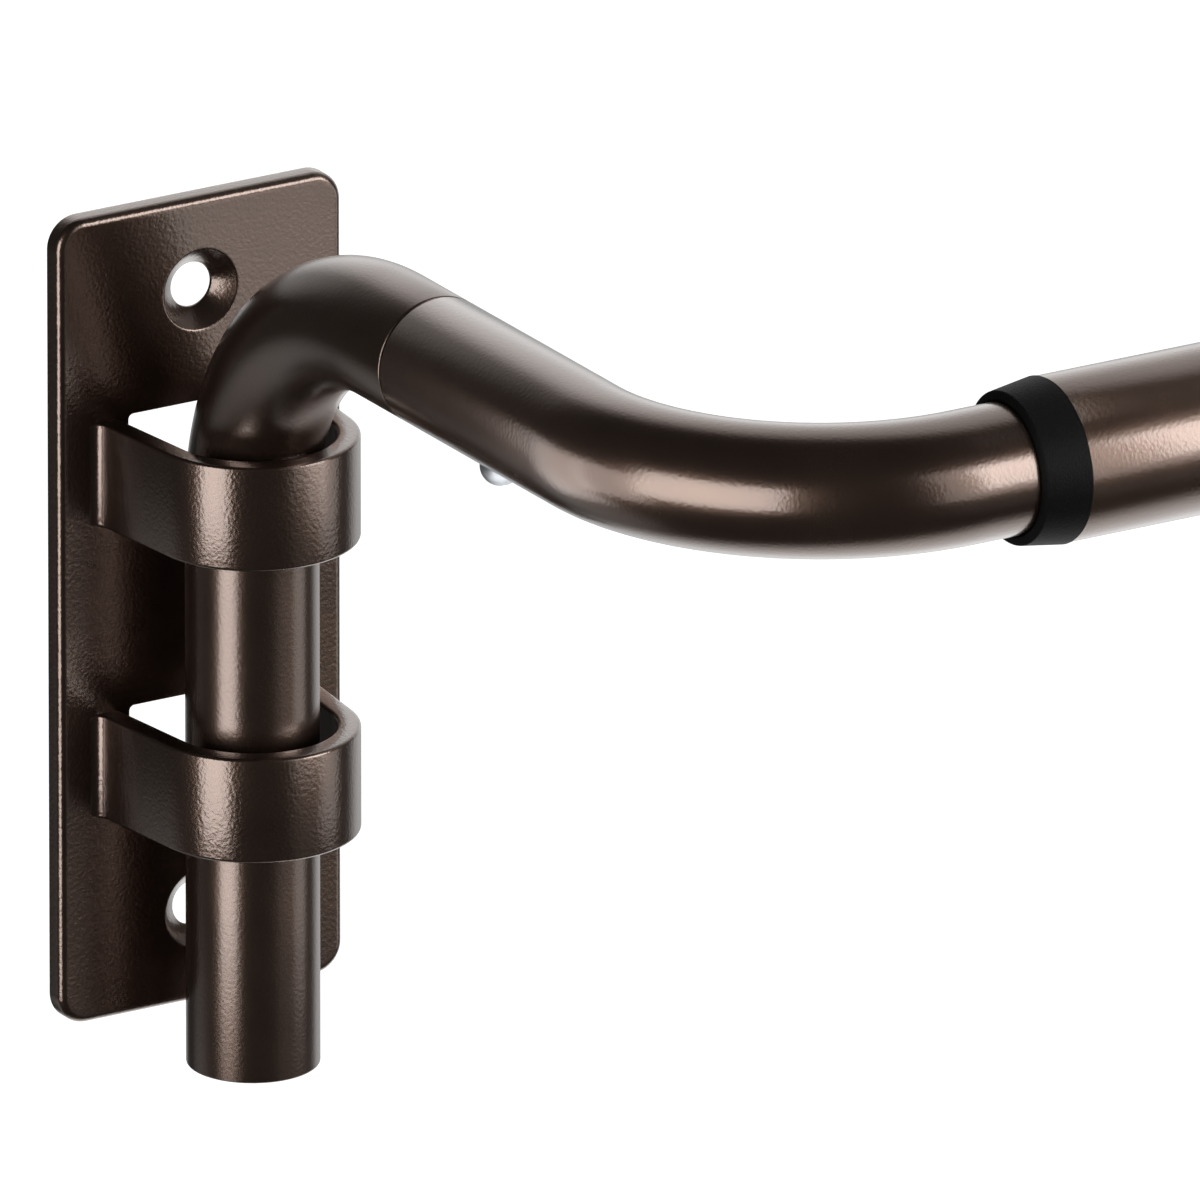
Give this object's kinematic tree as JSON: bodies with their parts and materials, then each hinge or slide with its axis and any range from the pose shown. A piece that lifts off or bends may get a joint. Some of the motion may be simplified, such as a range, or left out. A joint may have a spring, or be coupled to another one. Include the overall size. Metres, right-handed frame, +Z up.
{
  "type": "wrap around curtain rod",
  "caption": "Telescoping curtain rod whose bent ends wrap back to the wall and hang by their upright stems in the loops of wall plates.",
  "frame": {"origin": "on the wall plane, at the middle of the rectangle of wall screw holes, midway between the brackets", "axes": "+X along the rod, +Y into the wall (out of the plates' backs), +Z up"},
  "size_m": [0.7422, 0.106, 0.0887],
  "materials": {
    "bronze_powder_coat": "dark oil rubbed bronze powder coat, satin with fine orange peel",
    "black_plastic": "fine grained matt black",
    "zinc_plated_steel": "bright zinc plate",
    "bare_steel": "turned steel",
    "natural_plastic": "natural acetal"
  },
  "bodies": {
    "left_bracket": {"left_bracket": "bronze_powder_coat"},
    "left_arm": {"left_end_elbow": "bronze_powder_coat", "left_joining_spigot": "bare_steel", "left_lock_screw": "zinc_plated_steel", "left_return_tube": "bronze_powder_coat", "left_end_glide": "natural_plastic"},
    "centre": {"centre_tube": "bronze_powder_coat", "left_collar": "black_plastic", "right_collar": "black_plastic"},
    "right_arm": {"right_end_elbow": "bronze_powder_coat", "right_joining_spigot": "bare_steel", "right_lock_screw": "zinc_plated_steel", "right_return_tube": "bronze_powder_coat", "right_end_glide": "natural_plastic"},
    "right_bracket": {"right_bracket": "bronze_powder_coat"}
  },
  "joints": [
    {"name": "left_lift", "type": "slide", "parent": "left_bracket", "child": "left_arm", "axis": [0, 0, 1], "range_m": [0, 0.063]},
    {"name": "left_draw", "type": "slide", "parent": "left_arm", "child": "centre", "axis": [1, 0, 0], "range_m": [0, 0.254]},
    {"name": "right_draw", "type": "slide", "parent": "centre", "child": "right_arm", "axis": [1, 0, 0], "range_m": [0, 0.254]},
    {"name": "right_lift", "type": "slide", "parent": "right_arm", "child": "right_bracket", "axis": [0, 0, 1], "range_m": [-0.063, 0]}
  ],
  "couplings": [
    {"joint": "right_lift", "follows": "left_lift", "ratio": -1}
  ]
}
